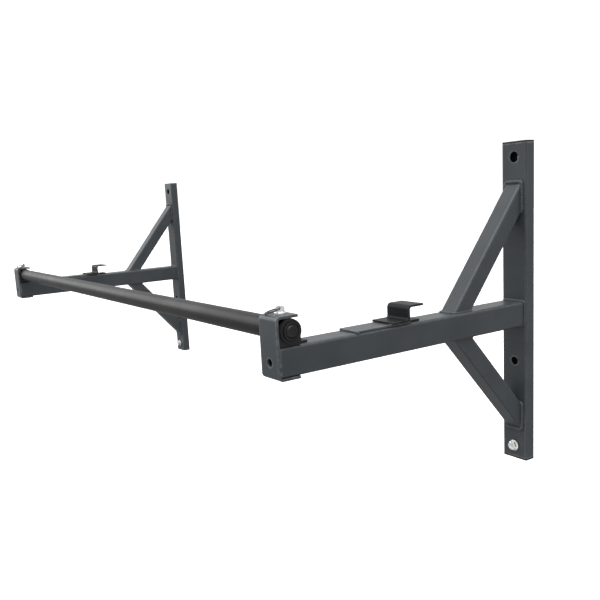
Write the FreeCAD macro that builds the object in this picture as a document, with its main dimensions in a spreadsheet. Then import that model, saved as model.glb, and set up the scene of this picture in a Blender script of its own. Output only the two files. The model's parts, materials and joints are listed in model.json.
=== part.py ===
"""Wall-mounted pull-up bar: two braced steel brackets, and a round bar locked into their front hooks.

Frame, in millimetres: the origin is on the wall, midway between the two top fixing holes. +X runs along the
bar, +Y points into the wall and +Z points up, so the bar hangs out in front of the wall, at -Y.
"""

import FreeCAD, Part
import os
import re

import Sketcher

SIZES = {
    # the two brackets, one on every fourth stud of a wall with studs at 16 inches
    "bracket_spacing": 1219.2,
    # upright: a flat rectangular tube against the wall, closed by a plastic cap at each end
    "upright_width": 44,
    "upright_depth": 20,
    "upright_length": 487,
    "tube_wall": 2,
    "upright_corner": 2.5,
    "cap_flange": 2.5,
    "cap_plug": 12,
    "cap_clearance": 0.15,
    # fixing holes, measured from the ends of the capped upright
    "top_hole_drop": 23,
    "top_hole_diameter": 16,
    "middle_hole_height": 158,
    "middle_hole_diameter": 13,
    "foot_hole_height": 21,
    "foot_hole_diameter": 11,
    # arm: a square tube that carries the bar
    "arm_size": 38,
    "arm_length": 446,
    "arm_drop": 216,
    "arm_corner": 4,
    # braces: square tubes, mitred onto the arm and the upright
    "brace_size": 28,
    "brace_run": 147,
    "upper_brace_rise": 179,
    "lower_brace_rise": 165,
    "brace_corner": 3,
    # front hook: one plate bent round the end of the arm, with a lip over the bar
    "hook_plate": 3.5,
    "hook_lip_depth": 32.5,
    "mouth_height": 33.9,
    "hook_bend": 6.5,
    "hook_corner": 1.5,
    "hook_hole_drop": 20,
    "hook_hole_diameter": 11,
    # strips on the arm that the bar's saddle and an accessory rest on
    "strip_width": 26,
    "front_strip_thickness": 3,
    "front_strip_length": 45,
    "rear_strip_thickness": 3,
    "rear_strip_length": 21,
    # rear hook: a Z-bent plate on a pad, open towards the wall
    "pad_thickness": 2.5,
    "pad_width": 36,
    "pad_length": 94.5,
    "pad_start": 234,
    "rear_plate": 3,
    "rear_width": 42,
    "rear_height": 22.5,
    "rear_web": 238,
    "rear_foot": 30.5,
    "rear_lip": 27.5,
    "rear_bend": 6,
    # bar, with a saddle and a plug at each end
    "bar_diameter": 28,
    "bar_wall": 2.5,
    "bar_setback": 15.9,
    "bar_height": 18.4,
    "saddle_radius": 15.3,
    "saddle_length": 37.6,
    "saddle_lift": 0.4,
    "saddle_slot": 26.6,
    "saddle_slot_gap": 0.1,
    "saddle_bore_gap": 0.05,
    "plug_reach": 14,
    "plug_gap": 0.1,
    "plug_collar": 14.8,
    "plug_collar_face": 3,
    "plug_ring": 11.2,
    "plug_ring_face": 5,
    "plug_dome": 8.4,
    "plug_dome_face": 6.5,
    "plug_dome_bevel": 1.5,
    "plug_groove_width": 1.4,
    "plug_groove_depth": 1,
    # lock pin, dropped through the lip into the bar, with a pull ring through its flat neck
    "pin_diameter": 8,
    "pin_length": 20,
    "pin_running_gap": 0.1,
    "pin_hole_diameter": 9,
    "pin_collar_diameter": 16,
    "pin_collar_height": 2.5,
    "pin_collar_bevel": 0.5,
    "pin_end_bevel": 1.5,
    "pin_neck_diameter": 11,
    "pin_neck_height": 10,
    "pin_flat": 5,
    "ring_hole_height": 6.5,
    "ring_hole_diameter": 3.2,
    "ring_radius": 9.6,
    "ring_wire": 2,
    "ring_droop": 15.6,
    "ring_turn": 40,
    # bolt, washer and threaded insert in the lowest hole of each upright
    "bolt_diameter": 8,
    "bolt_length": 14,
    "bolt_head_across": 13,
    "bolt_head_height": 5.3,
    "washer_diameter": 17,
    "washer_bore": 8.4,
    "washer_thickness": 1.6,
    "insert_length": 13,
    "insert_flange_diameter": 14,
    "insert_flange_thickness": 1,
}

SIDES = {"left": -1, "right": 1}

doc = FreeCAD.newDocument("pull_up_bar")
sheet = doc.addObject("Spreadsheet::Sheet", "sizes")
for row, (alias, size) in enumerate(SIZES.items(), start=1):
    sheet.set(f"A{row}", alias)
    sheet.set(f"B{row}", str(size))
    sheet.setAlias(f"B{row}", alias)
doc.recompute()

sub_parts = []


def bound(expression):
    """Every word with an underscore is a size in the sheet."""
    return re.sub(r"\b([a-z]+(?:_[a-z]+)+)\b", r"sizes.\1", expression)


def value(expression):
    """The number that an expression on the sheet has now."""
    result = sheet.evalExpression(bound(expression))
    return float(getattr(result, "Value", result))


def place(piece, x="0", y="0", z="0", axis=None, angle="0"):
    """Puts a sub-part in the object's frame, at places that follow the sheet."""
    if axis:
        piece.Placement.Rotation = FreeCAD.Rotation(FreeCAD.Vector(*axis), value(angle))
    for name, expression in (("x", x), ("y", y), ("z", z)):
        piece.setExpression(f"Placement.Base.{name}", bound(expression))


def new_body(name):
    """A sub-part made of sketches and features, in a node of its own."""
    body = doc.addObject("PartDesign::Body", name)
    body.Label = name
    sub_parts.append(body)
    return body


def new_sketch(body, plane, name):
    """An empty sketch on one of the body's own origin planes: XY, XZ (normal to -Y) or YZ."""
    sketch = body.newObject("Sketcher::SketchObject", f"{body.Name}_{name}")
    support = [item for item in body.Origin.OriginFeatures if item.Role == f"{plane}_Plane"]
    sketch.AttachmentSupport = [(support[0], "")]
    sketch.MapMode = "FlatFace"
    return sketch


def fix(sketch, kind, geometry, point, name, expression):
    """Ties one coordinate of a point to the sheet, measured from the sketch's origin."""
    constraint = Sketcher.Constraint(kind, -1, 1, geometry, point, value(expression))
    number = sketch.addConstraint(constraint)
    sketch.renameConstraint(number, name)
    sketch.setExpression(f"Constraints.{name}", bound(expression))


def outline(body, plane, name, points):
    """A closed outline of straight lines, every corner tied to the sheet."""
    sketch = new_sketch(body, plane, name)
    corners = [FreeCAD.Vector(value(x), value(y), 0) for x, y in points]
    count = len(corners)
    for index in range(count):
        line = Part.LineSegment(corners[index], corners[(index + 1) % count])
        sketch.addGeometry(line, False)
    for index in range(count):
        sketch.addConstraint(Sketcher.Constraint("Coincident", index, 2, (index + 1) % count, 1))
    for index, (x, y) in enumerate(points):
        fix(sketch, "DistanceX", index, 1, f"corner_{index}_x", x)
        fix(sketch, "DistanceY", index, 1, f"corner_{index}_y", y)
    return sketch


def rectangle(body, plane, name, left, low, right, high):
    """A rectangle from its two corners."""
    return outline(body, plane, name, [(left, low), (right, low), (right, high), (left, high)])


def circles(body, plane, name, rounds):
    """One or more circles, each given as centre x, centre y and diameter."""
    sketch = new_sketch(body, plane, name)
    for index, (x, y, diameter) in enumerate(rounds):
        centre = FreeCAD.Vector(value(x), value(y), 0)
        circle = Part.Circle(centre, FreeCAD.Vector(0, 0, 1), value(diameter) / 2)
        sketch.addGeometry(circle, False)
        number = sketch.addConstraint(Sketcher.Constraint("Diameter", index, value(diameter)))
        sketch.renameConstraint(number, f"diameter_{index}")
        sketch.setExpression(f"Constraints.diameter_{index}", bound(diameter))
        fix(sketch, "DistanceX", index, 3, f"centre_{index}_x", x)
        fix(sketch, "DistanceY", index, 3, f"centre_{index}_y", y)
    return sketch


def feature(body, kind, name, sketch, length, midplane=False, backwards=False):
    """A Pad or a Pocket of a sketch, which has to change the body's volume."""
    before = body.Shape.Volume if body.Tip else 0
    step = body.newObject(f"PartDesign::{kind}", f"{body.Name}_{name}")
    step.Profile = sketch
    step.setExpression("Length", bound(length))
    step.Midplane = midplane
    step.Reversed = backwards
    sketch.Visibility = False
    doc.recompute()
    gained = body.Shape.Volume > before
    assert gained == (kind == "Pad"), f"{body.Name}: {name} does nothing"
    return step


def pad(body, name, sketch, length, midplane=False):
    return feature(body, "Pad", name, sketch, length, midplane)


def pocket(body, name, sketch, length, midplane=True, upwards=False):
    """Cuts both ways from the sketch, or only along or against its normal."""
    return feature(body, "Pocket", name, sketch, length, midplane, upwards)


def revolve(body, name, sketch, axis):
    """Turns a sketch right round one of its own two axes."""
    step = body.newObject("PartDesign::Revolution", f"{body.Name}_{name}")
    step.Profile = sketch
    step.ReferenceAxis = (sketch, [axis])
    step.Angle = 360
    doc.recompute()
    return step


def round_edges(body, name, radius, chosen):
    """Rounds the edges whose middle point and direction the test accepts."""
    base = body.Tip
    names = []
    for index, edge in enumerate(base.Shape.Edges, start=1):
        if edge.Curve.TypeId != "Part::GeomLine":
            continue
        ends = [vertex.Point for vertex in edge.Vertexes]
        if chosen((ends[0] + ends[1]) / 2, (ends[1] - ends[0]).normalize()):
            names.append(f"Edge{index}")
    assert names, f"{body.Name}: {name} finds no edge"
    step = body.newObject("PartDesign::Fillet", f"{body.Name}_{name}")
    step.Base = (base, names)
    step.setExpression("Radius", bound(radius))
    doc.recompute()
    return step


def near(first, second):
    return abs(first - second) < 0.01


# ---------------------------------------------------------------------------------------------- brackets

UPRIGHT_TOP = "top_hole_drop - cap_flange"
UPRIGHT_FOOT = "top_hole_drop - cap_flange - upright_length"
ARM_ROOT = "-upright_depth"
ARM_FRONT = "-(upright_depth + arm_length)"
ARM_TOP = "-arm_drop"


def bracket_x(side):
    return f"{SIDES[side]} * bracket_spacing / 2"


def make_upright(side):
    """Rectangular tube with three fixing holes through its front and back walls."""
    body = new_body(f"{side}_upright")
    outer = rectangle(
        body, "XY", "outside", "-upright_width / 2", "-upright_depth", "upright_width / 2", "0",
    )
    pad(body, "tube", outer, "upright_length")
    round_edges(body, "corners", "upright_corner", lambda middle, along: near(abs(along.z), 1))
    inner = rectangle(
        body, "XY", "hollow",
        "tube_wall - upright_width / 2", "tube_wall - upright_depth",
        "upright_width / 2 - tube_wall", "-tube_wall",
    )
    pocket(body, "bore", inner, "upright_length * 3")
    holes = circles(body, "XZ", "holes", [
        ("0", "upright_length + cap_flange - top_hole_drop", "top_hole_diameter"),
        ("0", "middle_hole_height - cap_flange", "middle_hole_diameter"),
        ("0", "foot_hole_height - cap_flange", "foot_hole_diameter"),
    ])
    pocket(body, "fixing_holes", holes, "upright_depth * 4")
    place(body, bracket_x(side), "0", UPRIGHT_FOOT)


def make_cap(side, end):
    """Plastic cap with a thin flange over the end of the tube and a plug inside it."""
    body = new_body(f"{side}_{end}_cap")
    flange = rectangle(
        body, "XY", "flange",
        "-upright_width / 2", "-upright_depth / 2", "upright_width / 2", "upright_depth / 2",
    )
    pad(body, "plate", flange, "cap_flange")
    round_edges(body, "corners", "upright_corner", lambda middle, along: near(abs(along.z), 1))
    inset = "(tube_wall + cap_clearance)"
    plug = rectangle(
        body, "XY", "plug",
        f"{inset} - upright_width / 2", f"{inset} - upright_depth / 2",
        f"upright_width / 2 - {inset}", f"upright_depth / 2 - {inset}",
    )
    feature(body, "Pad", "insert", plug, "cap_plug", backwards=True)
    if end == "top":
        place(body, bracket_x(side), "-upright_depth / 2", UPRIGHT_TOP)
    else:
        place(body, bracket_x(side), "-upright_depth / 2", UPRIGHT_FOOT, axis=(1, 0, 0), angle="180")


def make_arm(side):
    """Square tube from the front face of the upright to the front hook."""
    body = new_body(f"{side}_arm")
    outer = rectangle(body, "XZ", "outside", "-arm_size / 2", "-arm_size", "arm_size / 2", "0")
    pad(body, "tube", outer, "arm_length")
    round_edges(body, "corners", "arm_corner", lambda middle, along: near(abs(along.y), 1))
    inner = rectangle(
        body, "XZ", "hollow",
        "tube_wall - arm_size / 2", "tube_wall - arm_size", "arm_size / 2 - tube_wall", "-tube_wall",
    )
    pocket(body, "bore", inner, "arm_length * 3")
    place(body, bracket_x(side), ARM_ROOT, ARM_TOP)


def brace_outline(body, name, rise, inset):
    """Side view of the mitred tube, or of its hollow, in from the outside by a wall."""
    slope = f"atan({rise} / brace_run)"
    along = f"({inset} / sin({slope}))"
    upward = f"({inset} / cos({slope}))"
    foot = f"brace_size / sin({slope})"
    head = f"brace_size / cos({slope})"
    return outline(body, "YZ", name, [
        (f"{along} - brace_run", "0"),
        (f"{foot} - {along} - brace_run", "0"),
        ("0", f"{rise} - {head} + {upward}"),
        ("0", f"{rise} - {upward}"),
    ])


def make_brace(side, level):
    """Square tube, mitred at both ends, between the arm and the upright."""
    body = new_body(f"{side}_{level}_brace")
    rise = f"{level}_brace_rise"
    pad(body, "tube", brace_outline(body, "outside", rise, "0"), "brace_size", midplane=True)
    round_edges(
        body, "corners", "brace_corner",
        lambda middle, along: near(along.x, 0) and abs(along.y) > 0.1 and abs(along.z) > 0.1,
    )
    pocket(body, "bore", brace_outline(body, "hollow", rise, "tube_wall"), "brace_size - 2 * tube_wall")
    if level == "upper":
        place(body, bracket_x(side), ARM_ROOT, ARM_TOP)
    else:
        place(body, bracket_x(side), ARM_ROOT, f"{ARM_TOP} - arm_size", axis=(0, 1, 0), angle="180")


def make_front_hook(side):
    """Plate bent round the end of the arm: a flange under it, a front plate, and a lip above the bar."""
    body = new_body(f"{side}_front_hook")
    rear = "hook_lip_depth - hook_plate"
    outer = rectangle(
        body, "YZ", "outside", "-hook_plate", "-arm_size - hook_plate", rear, "mouth_height + hook_plate",
    )
    pad(body, "block", outer, "arm_size", midplane=True)
    mouth = rectangle(body, "YZ", "mouth", "0", "-arm_size", "hook_lip_depth", "mouth_height")
    pocket(body, "mouth_cut", mouth, "arm_size * 2")
    front = -value("hook_plate")
    top = value("mouth_height + hook_plate")
    foot = -value("arm_size + hook_plate")
    round_edges(
        body, "outer_bends", "hook_bend",
        lambda middle, along: near(middle.y, front) and near(abs(along.x), 1)
        and (near(middle.z, top) or near(middle.z, foot)),
    )
    round_edges(
        body, "inner_bend", "hook_bend - hook_plate",
        lambda middle, along: near(middle.y, 0) and near(abs(along.x), 1)
        and near(middle.z, value("mouth_height")),
    )
    end = value(rear)
    round_edges(
        body, "corners", "hook_corner",
        lambda middle, along: near(middle.y, end) and near(abs(along.z), 1),
    )
    plate_hole = circles(body, "XZ", "plate_hole", [("0", "-hook_hole_drop", "hook_hole_diameter")])
    pocket(body, "accessory_hole", plate_hole, "hook_plate * 4")
    lip_hole = circles(body, "XY", "lip_hole", [("0", "bar_setback", "pin_diameter + 2 * pin_running_gap")])
    pocket(body, "pin_hole", lip_hole, "mouth_height * 2", midplane=False, upwards=True)
    place(body, bracket_x(side), ARM_FRONT, ARM_TOP)


def make_strip(name, side, width, thickness, length, start):
    """Flat strip on top of the arm, from its front end at start towards the wall."""
    body = new_body(name)
    flat = rectangle(body, "XY", "outline", f"-{width} / 2", "0", f"{width} / 2", length)
    pad(body, "strip", flat, thickness)
    round_edges(body, "corners", "hook_corner", lambda middle, along: near(abs(along.z), 1))
    place(body, bracket_x(side), start, ARM_TOP)


def make_rear_hook(side):
    """Z-bent plate: a foot on the pad, a web, and a lip that points at the wall."""
    body = new_body(f"{side}_rear_hook")
    outer = outline(body, "YZ", "profile", [
        ("-rear_foot", "0"),
        ("0", "0"),
        ("0", "rear_height - rear_plate"),
        ("rear_lip - rear_plate", "rear_height - rear_plate"),
        ("rear_lip - rear_plate", "rear_height"),
        ("-rear_plate", "rear_height"),
        ("-rear_plate", "rear_plate"),
        ("-rear_foot", "rear_plate"),
    ])
    pad(body, "plate", outer, "rear_width", midplane=True)
    web = -value("rear_plate")
    top = value("rear_height")
    round_edges(
        body, "outer_bends", "rear_bend",
        lambda middle, along: near(abs(along.x), 1) and near(middle.y, web) and near(middle.z, top),
    )
    round_edges(
        body, "inner_bend", "rear_bend - rear_plate",
        lambda middle, along: near(abs(along.x), 1) and near(middle.y, 0)
        and near(middle.z, value("rear_height - rear_plate")),
    )
    round_edges(
        body, "foot_bend", "rear_bend - rear_plate",
        lambda middle, along: near(abs(along.x), 1) and near(middle.y, web)
        and near(middle.z, value("rear_plate")),
    )
    place(body, bracket_x(side), f"{ARM_ROOT} - rear_web", f"{ARM_TOP} + pad_thickness")


# --------------------------------------------------------------------------------------- bar and its ends

BAR_Y = f"{ARM_FRONT} + bar_setback"
BAR_Z = f"{ARM_TOP} + bar_height"


def make_bar():
    """Round tube across both brackets, with a hole for each lock pin in its top."""
    body = new_body("bar")
    length = "bracket_spacing + saddle_length"
    pad(body, "tube", circles(body, "YZ", "outside", [("0", "0", "bar_diameter")]), length, midplane=True)
    inner = circles(body, "YZ", "hollow", [("0", "0", "bar_diameter - 2 * bar_wall")])
    pocket(body, "bore", inner, f"({length}) * 2")
    holes = circles(body, "XY", "holes", [
        (bracket_x(side), "0", "pin_hole_diameter") for side in SIDES
    ])
    pocket(body, "pin_holes", holes, "bar_diameter", midplane=False, upwards=True)
    place(body, "0", BAR_Y, BAR_Z)


def make_saddle(side):
    """Moulded block with an arched top and a flat base, which straddles the strip on the arm."""
    body = new_body(f"{side}_saddle")
    base = rectangle(
        body, "YZ", "base", "-saddle_radius", "saddle_lift - bar_height", "saddle_radius", "0",
    )
    pad(body, "block", base, "saddle_length", midplane=True)
    arch = circles(body, "YZ", "arch", [("0", "0", "2 * saddle_radius")])
    pad(body, "crown", arch, "saddle_length", midplane=True)
    slot = rectangle(
        body, "XZ", "slot",
        "-saddle_slot / 2", "-bar_height", "saddle_slot / 2",
        "front_strip_thickness + saddle_slot_gap - bar_height",
    )
    pocket(body, "strip_slot", slot, "saddle_radius * 4")
    bore = circles(body, "YZ", "bore", [("0", "0", "bar_diameter + 2 * saddle_bore_gap")])
    pocket(body, "bar_bore", bore, "saddle_length * 2")
    pin = circles(body, "XY", "pin", [("0", "0", "pin_hole_diameter")])
    pocket(body, "pin_hole", pin, "saddle_radius * 2", midplane=False, upwards=True)
    place(body, bracket_x(side), BAR_Y, BAR_Z)


def make_end_plug(side):
    """Round plug: a shank inside the tube, a collar over its end, a raised ring and a low dome."""
    body = new_body(f"{side}_end_plug")
    shank = "bar_diameter / 2 - bar_wall - plug_gap"
    sketch = outline(body, "XY", "profile", [
        ("-plug_reach", "0"),
        ("-plug_reach", shank),
        ("0", shank),
        ("0", "plug_collar"),
        ("plug_collar_face", "plug_collar"),
        ("plug_collar_face", "plug_ring + plug_groove_width"),
        ("plug_collar_face - plug_groove_depth", "plug_ring + plug_groove_width"),
        ("plug_collar_face - plug_groove_depth", "plug_ring"),
        ("plug_ring_face", "plug_ring"),
        ("plug_ring_face", "plug_dome + plug_groove_width"),
        ("plug_ring_face - plug_groove_depth", "plug_dome + plug_groove_width"),
        ("plug_ring_face - plug_groove_depth", "plug_dome"),
        ("plug_dome_face", "plug_dome - plug_dome_bevel"),
        ("plug_dome_face", "0"),
    ])
    revolve(body, "turned", sketch, "H_Axis")
    outward = f"{SIDES[side]} * saddle_length / 2"
    turn = "0" if side == "right" else "180"
    place(body, f"{bracket_x(side)} + {outward}", BAR_Y, BAR_Z, axis=(0, 0, 1), angle=turn)


# ------------------------------------------------------------------------------------------- lock pins

LIP_TOP = f"{ARM_TOP} + mouth_height + hook_plate"


def lean_angle(side):
    """Turn about +Z that points a pull ring forwards and inboard."""
    return f"{-SIDES[side]} * ring_turn"


def make_lock_pin(side):
    """Drop-in pin: round shank, collar on the lip, and a flattened neck with a cross hole."""
    body = new_body(f"{side}_lock_pin")
    sketch = outline(body, "XZ", "profile", [
        ("0", "-pin_length"),
        ("pin_diameter / 2 - pin_end_bevel", "-pin_length"),
        ("pin_diameter / 2", "pin_end_bevel - pin_length"),
        ("pin_diameter / 2", "0"),
        ("pin_collar_diameter / 2", "0"),
        ("pin_collar_diameter / 2", "pin_collar_height - pin_collar_bevel"),
        ("pin_collar_diameter / 2 - pin_collar_bevel", "pin_collar_height"),
        ("pin_neck_diameter / 2", "pin_collar_height"),
        ("pin_neck_diameter / 2", "pin_neck_height - pin_end_bevel"),
        ("pin_neck_diameter / 2 - pin_end_bevel", "pin_neck_height"),
        ("0", "pin_neck_height"),
    ])
    revolve(body, "turned", sketch, "V_Axis")
    for number, hand in enumerate((-1, 1)):
        flat = rectangle(
            body, "XZ", f"flat_{number}",
            f"{hand} * pin_flat / 2", "pin_collar_height",
            f"{hand} * pin_neck_diameter", "pin_neck_height * 2",
        )
        pocket(body, f"flat_cut_{number}", flat, "pin_neck_diameter * 2")
    hole = circles(body, "YZ", "ring_hole", [("0", "ring_hole_height", "ring_hole_diameter")])
    pocket(body, "cross_hole", hole, "pin_neck_diameter * 2")
    place(body, bracket_x(side), BAR_Y, LIP_TOP, axis=(0, 0, 1), angle=lean_angle(side))


def make_pull_ring(side):
    """Wire ring through the neck of the pin, leaning forwards with its far side on the lip."""
    name = f"{side}_pull_ring"
    ring = doc.addObject("Part::Torus", name)
    ring.Label = name
    ring.setExpression("Radius1", bound("ring_radius"))
    ring.setExpression("Radius2", bound("ring_wire / 2"))
    sub_parts.append(ring)
    lean = FreeCAD.Rotation(FreeCAD.Vector(0, 0, 1), value(lean_angle(side)))
    droop = FreeCAD.Rotation(FreeCAD.Vector(1, 0, 0), value("ring_droop"))
    ring.Placement.Rotation = lean * droop
    reach = "ring_radius * cos(ring_droop)"
    place(
        ring,
        f"{bracket_x(side)} + {-SIDES[side]} * {reach} * sin(ring_turn)",
        f"{BAR_Y} - {reach} * cos(ring_turn)",
        f"{LIP_TOP} + ring_hole_height - ring_radius * sin(ring_droop)",
    )


# ------------------------------------------------------------------------------------- foot fasteners

FOOT_HOLE_Z = f"{UPRIGHT_FOOT} - cap_flange + foot_hole_height"


def make_insert(side):
    """Threaded insert with a thin flange on the front face of the upright."""
    body = new_body(f"{side}_threaded_insert")
    outer = circles(body, "XZ", "flange", [("0", "0", "insert_flange_diameter")])
    pad(body, "rim", outer, "insert_flange_thickness")
    barrel = circles(body, "XZ", "barrel", [("0", "0", "foot_hole_diameter")])
    feature(body, "Pad", "sleeve", barrel, "insert_length", backwards=True)
    bore = circles(body, "XZ", "bore", [("0", "0", "bolt_diameter")])
    pocket(body, "thread", bore, "insert_length * 4")
    place(body, bracket_x(side), ARM_ROOT, FOOT_HOLE_Z)


def make_washer(side):
    """Flat washer under the head of the bolt."""
    body = new_body(f"{side}_washer")
    outer = circles(body, "XZ", "outside", [("0", "0", "washer_diameter")])
    pad(body, "disc", outer, "washer_thickness")
    bore = circles(body, "XZ", "bore", [("0", "0", "washer_bore")])
    pocket(body, "hole", bore, "washer_thickness * 4")
    place(body, bracket_x(side), f"{ARM_ROOT} - insert_flange_thickness", FOOT_HOLE_Z)


def make_bolt(side):
    """Hex-head bolt: a Part prism for the head fused to a cylinder for the shank."""
    name = f"{side}_foot_bolt"
    head = doc.addObject("Part::Prism", f"{name}_head")
    head.Polygon = 6
    head.setExpression("Circumradius", bound("bolt_head_across / 2 / cos(30)"))
    head.setExpression("Height", bound("bolt_head_height"))
    shank = doc.addObject("Part::Cylinder", f"{name}_shank")
    shank.setExpression("Radius", bound("bolt_diameter / 2"))
    shank.setExpression("Height", bound("bolt_length"))
    shank.Placement.Rotation = FreeCAD.Rotation(FreeCAD.Vector(1, 0, 0), 180)
    bolt = doc.addObject("Part::Fuse", name)
    bolt.Label = name
    bolt.Base = head
    bolt.Tool = shank
    sub_parts.append(bolt)
    face = f"{ARM_ROOT} - insert_flange_thickness - washer_thickness"
    place(bolt, bracket_x(side), face, FOOT_HOLE_Z, axis=(1, 0, 0), angle="90")


# ------------------------------------------------------------------------------------------- assembly

for side_name in SIDES:
    make_upright(side_name)
    make_cap(side_name, "top")
    make_cap(side_name, "bottom")
    make_arm(side_name)
    make_brace(side_name, "upper")
    make_brace(side_name, "lower")
    make_front_hook(side_name)
    make_strip(
        f"{side_name}_front_strip", side_name,
        "strip_width", "front_strip_thickness", "front_strip_length", ARM_FRONT,
    )
    make_strip(
        f"{side_name}_rear_pad", side_name,
        "pad_width", "pad_thickness", "pad_length", f"{ARM_ROOT} - pad_start - pad_length",
    )
    make_strip(
        f"{side_name}_rear_strip", side_name,
        "strip_width", "rear_strip_thickness", "rear_strip_length", f"{ARM_ROOT} - pad_start",
    )
    make_rear_hook(side_name)
    make_saddle(side_name)
    make_end_plug(side_name)
    make_lock_pin(side_name)
    make_pull_ring(side_name)
    make_insert(side_name)
    make_washer(side_name)
    make_bolt(side_name)
make_bar()
doc.recompute()

for item in doc.Objects:
    faults = [state for state in item.State if state in ("Invalid", "Error")]
    assert not faults, f"{item.Name}: {faults}"
for piece in sub_parts:
    shape = piece.Shape
    assert not shape.isNull() and shape.isValid() and len(shape.Solids) == 1, piece.Label

os.makedirs("parts", exist_ok=True)
for piece in sub_parts:
    piece.Shape.exportStep(f"parts/{piece.Label}.step")
print(len(sub_parts), "sub-parts written")
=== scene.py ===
import json
from math import atan2, ceil, cos, pi, radians, sin

import bmesh
import bpy
from mathutils import Matrix, Vector, noise


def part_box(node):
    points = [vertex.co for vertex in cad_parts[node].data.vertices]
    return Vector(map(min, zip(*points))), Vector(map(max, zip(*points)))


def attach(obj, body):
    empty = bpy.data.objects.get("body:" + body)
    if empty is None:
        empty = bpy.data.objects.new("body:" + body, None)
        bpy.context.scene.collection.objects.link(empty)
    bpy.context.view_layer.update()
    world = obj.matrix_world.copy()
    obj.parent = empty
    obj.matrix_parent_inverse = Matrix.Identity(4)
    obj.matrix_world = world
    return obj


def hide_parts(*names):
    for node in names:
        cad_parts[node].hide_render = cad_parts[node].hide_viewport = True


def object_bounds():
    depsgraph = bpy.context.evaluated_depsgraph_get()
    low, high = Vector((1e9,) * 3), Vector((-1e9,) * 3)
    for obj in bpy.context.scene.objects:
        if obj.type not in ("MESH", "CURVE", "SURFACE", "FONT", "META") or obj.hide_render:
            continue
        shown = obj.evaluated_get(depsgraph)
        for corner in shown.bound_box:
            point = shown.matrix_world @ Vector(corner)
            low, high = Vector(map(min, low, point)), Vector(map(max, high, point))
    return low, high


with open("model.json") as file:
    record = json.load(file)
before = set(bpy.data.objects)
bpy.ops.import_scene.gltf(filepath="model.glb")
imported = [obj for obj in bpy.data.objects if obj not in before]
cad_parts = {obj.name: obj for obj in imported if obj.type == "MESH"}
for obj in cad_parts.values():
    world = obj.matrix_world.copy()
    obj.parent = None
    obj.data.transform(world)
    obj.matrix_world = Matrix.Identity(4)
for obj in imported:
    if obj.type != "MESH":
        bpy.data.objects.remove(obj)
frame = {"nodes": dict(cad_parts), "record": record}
cad_low, cad_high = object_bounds()

SIDES = {"left": -1, "right": 1}
X, Y, Z = Vector((1, 0, 0)), Vector((0, 1, 0)), Vector((0, 0, 1))


# ---------------------------------------------------------------- finishes


class Value:
    """A number that varies over a surface, used in ordinary arithmetic."""

    def __init__(self, finish, socket):
        self.finish = finish
        self.socket = socket

    def joined(self, operation, first, second):
        math = self.finish.node("ShaderNodeMath", {"operation": operation}, {0: first, 1: second})
        return Value(self.finish, math.outputs[0])

    def __add__(self, other):
        return self.joined("ADD", self, other)

    def __sub__(self, other):
        return self.joined("SUBTRACT", self, other)

    def __rsub__(self, other):
        return self.joined("SUBTRACT", other, self)

    def __mul__(self, other):
        return self.joined("MULTIPLY", self, other)

    __radd__ = __add__
    __rmul__ = __mul__


class Shading:
    """The nodes of a finish or of the white surround."""

    def __init__(self, owner):
        owner.use_nodes = True
        self.tree = owner.node_tree
        self.tree.nodes.clear()

    def feed(self, socket, given):
        """Gives an input a fixed value, or links it to the output that works it out."""
        given = given.socket if isinstance(given, Value) else given
        if isinstance(given, bpy.types.NodeSocket):
            self.tree.links.new(given, socket)
        else:
            socket.default_value = given

    def node(self, kind, settings=None, inputs=None):
        """A new node: its settings come first, then the values or links of its inputs."""
        made = self.tree.nodes.new(kind)
        for name, setting in (settings or {}).items():
            setattr(made, name, setting)
        for name, given in (inputs or {}).items():
            self.feed(made.inputs[name], given)
        return made

    def fade(self, value, low, high, to_low=0.0, to_high=1.0):
        """Takes low to high onto to_low to to_high, and holds it there beyond."""
        ranged = self.node(
            "ShaderNodeMapRange",
            {"clamp": True, "interpolation_type": "SMOOTHSTEP"},
            {
                "Value": value,
                "From Min": low, "From Max": high,
                "To Min": to_low, "To Max": to_high,
            },
        )
        return Value(self, ranged.outputs[0])

    def blend(self, amount, first, second):
        """One colour turning into another."""
        mixed = self.node(
            "ShaderNodeMix",
            {"data_type": "RGBA", "clamp_factor": True},
            {0: amount, 6: first, 7: second},
        )
        return mixed.outputs[2]


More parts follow.
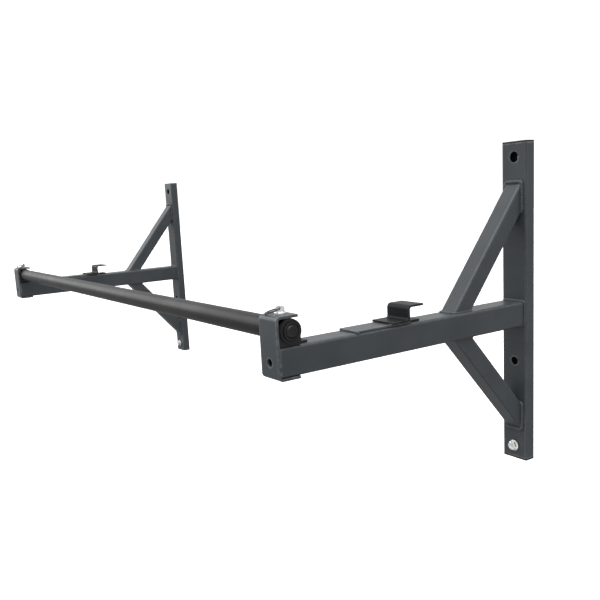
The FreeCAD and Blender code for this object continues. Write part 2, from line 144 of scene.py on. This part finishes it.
class Finish(Shading):
    """One surface finish: its shader and the relief, shade and gloss that vary over it."""

    def __init__(self, name, shader):
        self.material = bpy.data.materials.new(name)
        super().__init__(self.material)
        self.shader = self.node("ShaderNodeBsdfPrincipled", {}, shader)
        self.node("ShaderNodeOutputMaterial", {}, {"Surface": self.shader.outputs[0]})
        self.place = self.node("ShaderNodeTexCoord").outputs["Object"]

    def speckle(self, scale, detail=2.0, stretch=(1, 1, 1)):
        """Noise of about one over scale metres, drawn out along an axis by a smaller stretch."""
        spread = self.node("ShaderNodeMapping", {}, {"Vector": self.place, "Scale": stretch})
        grain = self.node(
            "ShaderNodeTexNoise", {},
            {"Vector": spread.outputs[0], "Scale": scale, "Detail": detail},
        )
        return Value(self, grain.outputs[0])

    def edges(self, rounding, reach, low=0.02, high=0.15):
        """The normal with its sharp edges rounded over, and how near the surface is to an edge."""
        rounded = self.node("ShaderNodeBevel", {"samples": 6}, {"Radius": rounding}).outputs[0]
        nearby = self.node("ShaderNodeBevel", {"samples": 8}, {"Radius": reach}).outputs[0]
        flat = self.node("ShaderNodeNewGeometry").outputs["Normal"]
        turned = self.node(
            "ShaderNodeVectorMath", {"operation": "DOT_PRODUCT"}, {0: nearby, 1: flat}
        )
        bend = 1 - Value(self, turned.outputs["Value"])
        return rounded, self.fade(bend, low, high)

    def surface(self, colour, roughness, height, depth, normal=None):
        """Wires up the finish: its colour, how rough it is, and its relief, depth metres deep."""
        relief = {"Height": height, "Distance": depth, "Strength": 1.0}
        if normal is not None:
            relief["Normal"] = normal
        bump = self.node("ShaderNodeBump", {}, relief)
        self.feed(self.shader.inputs["Base Color"], colour)
        self.feed(self.shader.inputs["Roughness"], roughness)
        self.feed(self.shader.inputs["Normal"], bump.outputs[0])


def powder_coat(name, dark, light, edge_wear_and_highlight, rough, reach=0.0045, gloss=0.38):
    """Baked powder coat: a fine grain over slow drifts of tone, paler along edges where it wears
    thin and where a highlight is painted.
    """
    coat = Finish(name, {"Specular IOR Level": gloss})
    drift = coat.speckle(16, 3)
    grain = coat.speckle(950, 3)
    peel = coat.speckle(330, 2)
    rounded, edge = coat.edges(reach * 0.3, reach, low=0.004, high=0.06)
    rubbed = coat.fade(coat.speckle(140, 4), 0.40, 0.62)
    tone = coat.fade(drift * 0.5 + grain * 0.5, 0.38, 0.62)
    body = coat.blend(tone, dark, light)
    # edges pale towards the edge colour: partly wear where the coat thins, partly a painted
    # highlight along every edge
    worn_and_highlit_edges = coat.blend(edge * (rubbed * 0.40 + 0.20), body, edge_wear_and_highlight)
    shine = drift * 0.10 + grain * 0.12 - edge * 0.08 + rough
    coat.surface(worn_and_highlit_edges, shine, grain * 0.45 + peel * 0.55, depth=0.00010, normal=rounded)
    return coat.material


def bar_coat():
    """Satin graphite coat drawn along the bar, with faint rub marks where hands go."""
    coat = Finish("bar_coat", {"Specular IOR Level": 0.17})
    drawn = coat.speckle(700, 3, (0.02, 1, 1))
    drift = coat.speckle(9, 3)
    grain = coat.speckle(1500, 2)
    handled = coat.fade(coat.speckle(24, 4, (0.5, 1, 1)), 0.50, 0.72)
    rounded, edge = coat.edges(0.0006, 0.0012)
    tone = coat.fade(drift * 0.5 + drawn * 0.5, 0.35, 0.65)
    body = coat.blend(tone, (0.008, 0.008, 0.0079, 1), (0.013, 0.013, 0.0127, 1))
    touched = coat.blend(handled * 0.35 + edge * 0.3, body, (0.026, 0.0256, 0.0245, 1))
    shine = drawn * 0.10 + drift * 0.06 - handled * 0.04 + 0.34
    coat.surface(touched, shine, drawn * 0.5 + grain * 0.5, depth=0.00003, normal=rounded)
    return coat.material


def moulded_plastic():
    """Black moulded plastic: a fine spark-eroded grain, greyer where edges catch."""
    plastic = Finish("black_plastic", {"Specular IOR Level": 0.32})
    grain = plastic.speckle(1800, 3)
    drift = plastic.speckle(60, 3)
    rounded, edge = plastic.edges(0.0004, 0.0009)
    tone = plastic.fade(drift, 0.35, 0.65)
    body = plastic.blend(tone, (0.006, 0.006, 0.0066, 1), (0.010, 0.010, 0.0106, 1))
    scuffed = plastic.blend(edge * 0.5, body, (0.032, 0.032, 0.034, 1))
    shine = grain * 0.16 + drift * 0.08 + 0.30
    plastic.surface(scuffed, shine, grain, depth=0.00005, normal=rounded)
    return plastic.material


def zinc_plate():
    """Bright zinc: fine turning lines, cloudy passivation and paler edges."""
    zinc = Finish("zinc_plate", {"Metallic": 1.0})
    turned = zinc.speckle(2200, 2, (1, 1, 0.08))
    cloud = zinc.speckle(180, 4)
    rounded, edge = zinc.edges(0.0002, 0.0005)
    tone = zinc.fade(cloud, 0.36, 0.66)
    body = zinc.blend(tone, (0.72, 0.74, 0.76, 1), (0.90, 0.89, 0.86, 1))
    bright = zinc.blend(edge * 0.6, body, (0.90, 0.90, 0.88, 1))
    shine = turned * 0.14 + cloud * 0.12 + 0.16
    zinc.surface(bright, shine, turned * 0.6 + cloud * 0.4, depth=0.00002, normal=rounded)
    return zinc.material


def ring_wire():
    """Sprung steel wire under a dark oil finish, brighter where it rubs."""
    wire = Finish("ring_wire", {"Metallic": 0.85})
    drawn = wire.speckle(900, 3)
    rubbed = wire.fade(wire.speckle(260, 3), 0.52, 0.68)
    tone = wire.fade(drawn, 0.35, 0.65)
    body = wire.blend(tone, (0.050, 0.050, 0.052, 1), (0.095, 0.094, 0.090, 1))
    bare = wire.blend(rubbed * 0.5, body, (0.30, 0.30, 0.29, 1))
    wire.surface(bare, drawn * 0.15 + 0.26, drawn, depth=0.00002)
    return wire.material


finishes = {
    "bracket_coat": powder_coat(
        "bracket_coat",
        dark=(0.029, 0.0345, 0.0385, 1),
        light=(0.039, 0.046, 0.051, 1),
        edge_wear_and_highlight=(0.15, 0.160, 0.166, 1),
        rough=0.27,
    ),
    "dark_coat": powder_coat(
        "dark_coat",
        dark=(0.0055, 0.0066, 0.0074, 1),
        light=(0.0098, 0.0115, 0.0126, 1),
        edge_wear_and_highlight=(0.05, 0.053, 0.055, 1),
        rough=0.32,
        gloss=0.13,
    ),
    # tones a little lighter than the bracket coat's: a painted highlight on the weld beads
    "weld_coat": powder_coat(
        "weld_coat",
        dark=(0.030, 0.0355, 0.0395, 1),
        light=(0.043, 0.050, 0.055, 1),
        edge_wear_and_highlight=(0.13, 0.140, 0.146, 1),
        rough=0.24,
        reach=0.0010,
    ),
    "bar_coat": bar_coat(),
    "black_plastic": moulded_plastic(),
    "zinc": zinc_plate(),
    "ring_wire": ring_wire(),
}

for part in frame["record"]["subparts"]:
    for held in frame["nodes"][part["node"]].material_slots:
        held.material = finishes[part["material_slot"]]


# ---------------------------------------------------------------- mesh work


def placed(name, data):
    """A new object in the scene."""
    made = bpy.data.objects.new(name, data)
    bpy.context.scene.collection.objects.link(made)
    return made


def meshed(name, bm, material):
    """Finished mesh work as a mesh of one material."""
    mesh = bpy.data.meshes.new(name)
    bm.to_mesh(mesh)
    bm.free()
    mesh.materials.append(material)
    return mesh


def keep(name, bm, finish, smooth=True):
    """Turns finished mesh work into a piece that rides on the frame."""
    bmesh.ops.remove_doubles(bm, verts=bm.verts, dist=1e-6)
    bmesh.ops.recalc_face_normals(bm, faces=bm.faces)
    mesh = meshed(name, bm, finishes[finish])
    for face in mesh.polygons:
        face.use_smooth = smooth
    piece = placed(name, mesh)
    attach(piece, "frame")
    return piece


def only_edges(parts):
    return [part for part in parts if isinstance(part, bmesh.types.BMEdge)]


def grow(bm, edges):
    """Extrudes a ring of edges, and gives the edges and vertices of the new ring."""
    grown = bmesh.ops.extrude_edge_only(bm, edges=edges)["geom"]
    verts = [part for part in grown if isinstance(part, bmesh.types.BMVert)]
    fresh = set(verts)
    return [edge for edge in only_edges(grown) if fresh.issuperset(edge.verts)], verts


# ---------------------------------------------------------------- weld beads

BEAD_SIDES = 12
BEAD_STEP = 0.0006        # distance between the rings of a bead
CORNER_STEPS = 6          # steps round one corner of a tube
RIPPLE_PITCH = 0.0032
RIPPLE_MEAN = 0.55        # taken off the ripple so that it swells and thins alike
LUMPS, LUMP_SCALE = 0.14, 210
TAPER = 1.6               # an open bead fades out over this many radii
TIP = 0.12                # what is left of its radius at the very end

PROUD = 0.0004            # a bead's middle stands off the faces it joins
TUBE_CORNER = 0.0042
ARM_BEAD, HEAD_BEAD, FOOT_BEAD = 0.0023, 0.0032, 0.0020
FOOT_RIPPLE = 0.06

TACK_STEP, TACK_PITCH = 0.0004, 0.0022
FRONT_TACK_DROP, FRONT_TACK_LENGTH, FRONT_TACK_BEAD = 0.0225, 0.0075, 0.0010
PAD_TACK_LENGTH = 0.0055
HOOK_TACK_REACH, HOOK_TACK_LENGTH = 0.0185, 0.0060
REAR_TACK_BEAD = 0.0012


def stepped(corners, step):
    """Points at an even spacing along straight runs between corners."""
    points = []
    for start, end in zip(corners, corners[1:]):
        count = max(1, ceil((end - start).length / step))
        points += [start.lerp(end, at / count) for at in range(count)]
    return points + corners[-1:]


def around(centre, across, up, half_across, half_up):
    """Points evenly spaced round a square tube with round corners, back to where it began."""
    points = []
    for turn, (right, top) in enumerate(((1, 1), (-1, 1), (-1, -1), (1, -1))):
        middle = (
            centre
            + across * right * (half_across - TUBE_CORNER)
            + up * top * (half_up - TUBE_CORNER)
        )
        for stop in range(CORNER_STEPS + 1):
            angle = (turn + stop / CORNER_STEPS) * pi / 2
            points.append(middle + (across * cos(angle) + up * sin(angle)) * TUBE_CORNER)
    return stepped(points + points[:1], BEAD_STEP)


def lay_bead(bm, route, out, radius, pitch=RIPPLE_PITCH, ripple=0.15):
    """Sweeps a rippled bead of weld along a route; it is closed if the route comes back."""
    loop = (route[0] - route[-1]).length < 1e-7
    length = sum((end - start).length for start, end in zip(route, route[1:]))
    places, run = [], 0.0
    for at, point in enumerate(route):
        before = route[at - 1] if at else (route[-2] if loop else point)
        after = route[at + 1] if at + 1 < len(route) else (route[1] if loop else point)
        ahead = (after - before).normalized()
        run += (point - route[at - 1]).length if at else 0.0
        wave = ripple * (abs(sin(pi * run / pitch)) - RIPPLE_MEAN)
        swell = 1 + wave + LUMPS * noise.noise(point * LUMP_SCALE)
        if loop and at in (0, len(route) - 1):
            swell = 1.0
        if not loop:
            near_end = min(run, length - run) / (radius * TAPER)
            swell *= TIP + (1 - TIP) * (1 - (1 - min(1.0, near_end)) ** 2) ** 0.5
        place = Matrix((out.cross(ahead), out, ahead)).transposed().to_4x4()
        places.append(Matrix.Translation(point) @ place @ Matrix.Scale(radius * swell, 4))
    ring = bmesh.ops.create_circle(bm, segments=BEAD_SIDES, radius=1.0)["verts"]
    edges = list({edge for vert in ring for edge in vert.link_edges})
    bmesh.ops.transform(bm, matrix=places[0], verts=ring)
    ends = list(edges)
    for here, there in zip(places, places[1:]):
        edges, verts = grow(bm, edges)
        bmesh.ops.transform(bm, matrix=there @ here.inverted(), verts=verts)
    if not loop:
        bmesh.ops.holes_fill(bm, edges=ends + edges, sides=0)


def weld_bracket(side, sign):
    """All the weld on one bracket: tacks, the arm's end, and the heads and feet of the braces."""
    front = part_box(f"{side}_upright")[0][1]
    arm_low, arm_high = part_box(f"{side}_arm")
    middle = (arm_low[0] + arm_high[0]) / 2

    # short tacks that hold the hook plate, the pad and the rear hook to the arm
    side_face = middle + sign * (arm_high[0] - arm_low[0]) / 2
    pad_low, pad_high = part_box(f"{side}_rear_pad")
    hook_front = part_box(f"{side}_rear_hook")[0][1]
    pad_face = middle + sign * (pad_high[0] - middle)
    front_tack = Vector((side_face, arm_low[1], arm_high[2] - FRONT_TACK_DROP))
    pad_tack = Vector((pad_face, pad_low[1], pad_low[2]))
    hook_tack = Vector((middle + sign * HOOK_TACK_REACH, hook_front, pad_high[2]))
    bm = bmesh.new()
    for start, run, out, radius in (
        (front_tack, -Z * FRONT_TACK_LENGTH, X * sign, FRONT_TACK_BEAD),
        (pad_tack, Y * PAD_TACK_LENGTH, X * sign, REAR_TACK_BEAD),
        (hook_tack, -X * sign * HOOK_TACK_LENGTH, -Y, REAR_TACK_BEAD),
    ):
        lay_bead(bm, stepped([start, start + run], TACK_STEP), out, radius, pitch=TACK_PITCH)
    keep(f"{side}_tacks", bm, "weld_coat")

    # the arm's square end, welded all round to the face of the upright
    bm = bmesh.new()
    centre = Vector((middle, front - PROUD, (arm_low[2] + arm_high[2]) / 2))
    half_wide = (arm_high[0] - arm_low[0]) / 2 + PROUD
    half_high = (arm_high[2] - arm_low[2]) / 2 + PROUD
    lay_bead(bm, around(centre, X, Z, half_wide, half_high), -Y, ARM_BEAD)
    keep(f"{side}_arm_weld", bm, "weld_coat")

    # both braces, welded round their heads on the upright and their feet on the arm
    for brace, above in (("upper_brace", 1), ("lower_brace", -1)):
        low, high = (Vector(corner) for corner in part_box(f"{side}_{brace}"))
        width = high.x - low.x
        slope = atan2(high.z - low.z, high.y - low.y)
        head, foot = width / cos(slope), width / sin(slope)
        outer = high.z if above > 0 else low.z
        arm_face = arm_high[2] if above > 0 else arm_low[2]
        half_wide = width / 2 + PROUD
        head_centre = Vector((middle, front - PROUD, outer - above * head / 2))
        foot_centre = Vector((middle, low.y + foot / 2, arm_face + above * PROUD))
        head_route = around(head_centre, X, Z, half_wide, head / 2 + PROUD)
        foot_route = around(foot_centre, X, Y, half_wide, foot / 2 + PROUD)
        bm = bmesh.new()
        lay_bead(bm, head_route, -Y, HEAD_BEAD)
        lay_bead(bm, foot_route, Z * above, FOOT_BEAD, ripple=FOOT_RIPPLE)
        keep(f"{side}_{brace}_weld", bm, "weld_coat")


for side, sign in SIDES.items():
    weld_bracket(side, sign)


# ---------------------------------------------------------------- hex bolts at the feet

TURNED_SIDES = 48
SHANK_RADIUS, SHANK_TIP_RADIUS, SHANK_CHAMFER = 0.0040, 0.0037, 0.0004
HEAD_CHAMFER, HEAD_TOP = 0.0010, 0.93       # the chamfer's height, and the top across the flats
DISH_RADIUS, DISH_FLOOR_RADIUS, DISH_DEPTH = 0.0038, 0.0033, 0.0006
SHARP_ANGLE, EDGE_BREAK = 0.5, 0.00012


def foot_bolt(side):
    """A hexagon bolt: chamfered head with a dished top, and its shank into the insert."""
    name = f"{side}_foot_bolt"
    low, high = (Vector(corner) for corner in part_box(name))
    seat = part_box(f"{side}_washer")[0][1]
    flats = (high.z - low.z) / 2
    corners = flats / cos(pi / 6)
    head = seat - low.y
    shank = high.y - seat
    turned = (
        (SHANK_TIP_RADIUS, -shank),
        (SHANK_RADIUS, -shank + SHANK_CHAMFER),
        (SHANK_RADIUS, 0.0),
        (corners, 0.0),
        (corners, head - HEAD_CHAMFER),
        (flats * HEAD_TOP, head),
        (DISH_RADIUS, head),
        (DISH_FLOOR_RADIUS, head - DISH_DEPTH),
    )

    # the turned blank, ring by ring from the shank's tip to the floor of the dish
    bm = bmesh.new()
    ring = bmesh.ops.create_circle(
        bm, segments=TURNED_SIDES, radius=turned[0][0], cap_ends=True
    )["verts"]
    edges = list(bm.edges)
    bmesh.ops.translate(bm, vec=Z * turned[0][1], verts=ring)
    for (radius, height), (wider, higher) in zip(turned, turned[1:]):
        edges, verts = grow(bm, edges)
        bmesh.ops.translate(bm, vec=Z * (higher - height), verts=verts)
        bmesh.ops.scale(bm, vec=(wider / radius, wider / radius, 1), verts=verts)
    bmesh.ops.holes_fill(bm, edges=edges, sides=0)

    # six flats cut on the head, and every sharp edge broken
    for flat in range(6):
        way = Vector((cos(flat * pi / 3 + pi / 2), sin(flat * pi / 3 + pi / 2), 0))
        cut = bmesh.ops.bisect_plane(
            bm, geom=bm.verts[:] + bm.edges[:] + bm.faces[:], dist=1e-7,
            plane_co=way * flats, plane_no=way, clear_outer=True,
        )["geom_cut"]
        bmesh.ops.holes_fill(bm, edges=only_edges(cut), sides=0)
    sharp = [
        edge for edge in bm.edges
        if len(edge.link_faces) == 2 and edge.calc_face_angle() > SHARP_ANGLE
    ]
    bmesh.ops.bevel(
        bm, geom=sharp, offset=EDGE_BREAK, offset_type="OFFSET", segments=2, profile=0.5,
        affect="EDGES", clamp_overlap=True, material=-1,
    )

    # laid down so that the head faces out of the wall
    centre = Vector(((low.x + high.x) / 2, seat, (low.z + high.z) / 2))
    bmesh.ops.transform(
        bm, matrix=Matrix.Translation(centre) @ Matrix.Rotation(radians(90), 4, "X"), verts=bm.verts
    )
    piece = keep(f"{name}_hex", bm, "zinc", smooth=False)
    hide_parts(name)


for side in SIDES:
    foot_bolt(side)


# ---------------------------------------------------------------- studio

FLOOR_DROP, FLOOR_SIZE = 1.0, 40.0


def lay_floor():
    """A wide pale floor well below the brackets, kept out of their reflections."""
    pale = Finish("floor_paint", {"Specular IOR Level": 0.1})
    soft = pale.speckle(3, 3)
    colour = pale.blend(soft, (0.90, 0.90, 0.90, 1), (0.95, 0.95, 0.95, 1))
    pale.surface(colour, soft * 0.1 + 0.8, soft, depth=0.0001)
    bm = bmesh.new()
    bmesh.ops.create_grid(bm, x_segments=8, y_segments=8, size=FLOOR_SIZE)
    bmesh.ops.translate(bm, vec=(0, 0, cad_low[2] - FLOOR_DROP), verts=bm.verts)
    floor = placed("floor", meshed("floor", bm, pale.material))
    floor.visible_diffuse = False
    floor.visible_glossy = False


def white_surround():
    """Plain white to look at, but it lights the object less, and less still from below."""
    world = bpy.data.worlds.new("white_surround")
    bpy.context.scene.world = world
    shading = Shading(world)
    way = shading.node("ShaderNodeTexCoord").outputs["Generated"]
    height = shading.node("ShaderNodeSeparateXYZ", {}, {0: way}).outputs["Z"]
    glow = shading.fade(height, low=-0.5, high=1.0, to_low=0.46, to_high=1.25)
    lit = shading.node("ShaderNodeBackground", {}, {"Color": (1, 1, 1, 1), "Strength": glow})
    white = shading.node("ShaderNodeBackground", {}, {"Color": (1, 1, 1, 1), "Strength": 1.15})
    seen = shading.node("ShaderNodeLightPath").outputs["Is Camera Ray"]
    both = shading.node(
        "ShaderNodeMixShader", {}, {0: seen, 1: lit.outputs[0], 2: white.outputs[0]}
    )
    shading.node("ShaderNodeOutputWorld", {}, {"Surface": both.outputs[0]})


def lights():
    """A broad light overhead and two soft panels, to the left and low in front."""
    overhead = bpy.data.lights.new("overhead", "SUN")
    overhead.energy = 2.7
    overhead.angle = radians(60)
    placed("overhead", overhead).rotation_euler = (radians(9), radians(12), 0)

    for name, place, aim, size, power, tint in (
        ("left_panel", (-2.1, -1.4, 0.85), (0.1, -0.40, -0.2), 1.7, 23.0, (1, 1, 1)),
        ("low_panel", (0.6, -1.5, -1.35), (0.4, -0.1, -0.3), 2.0, 11.0, (1.0, 0.96, 0.92)),
    ):
        panel = bpy.data.lights.new(name, "AREA")
        panel.shape = "SQUARE"
        panel.size = size
        panel.energy = power
        panel.color = tint
        lamp = placed(name, panel)
        lamp.location = place
        lamp.rotation_euler = (Vector(aim) - Vector(place)).to_track_quat("-Z", "Y").to_euler()
        lamp.visible_camera = False


def camera():
    """The view along the bar from beyond the right-hand bracket."""
    lens = bpy.data.cameras.new("camera")
    lens.lens = 42.647
    lens.sensor_width = 36.0
    lens.shift_x = 0.0300
    lens.shift_y = 0.0300
    lens.clip_start = 0.01
    lens.clip_end = 60.0
    eye = placed("camera", lens)
    eye.location = (1.317246, -0.911237, -0.045078)
    eye.rotation_euler = (radians(80.649), radians(3.219), radians(56.263))
    bpy.context.scene.camera = eye
    bpy.context.scene.view_settings.view_transform = "Standard"


lay_floor()
white_surround()
lights()
camera()
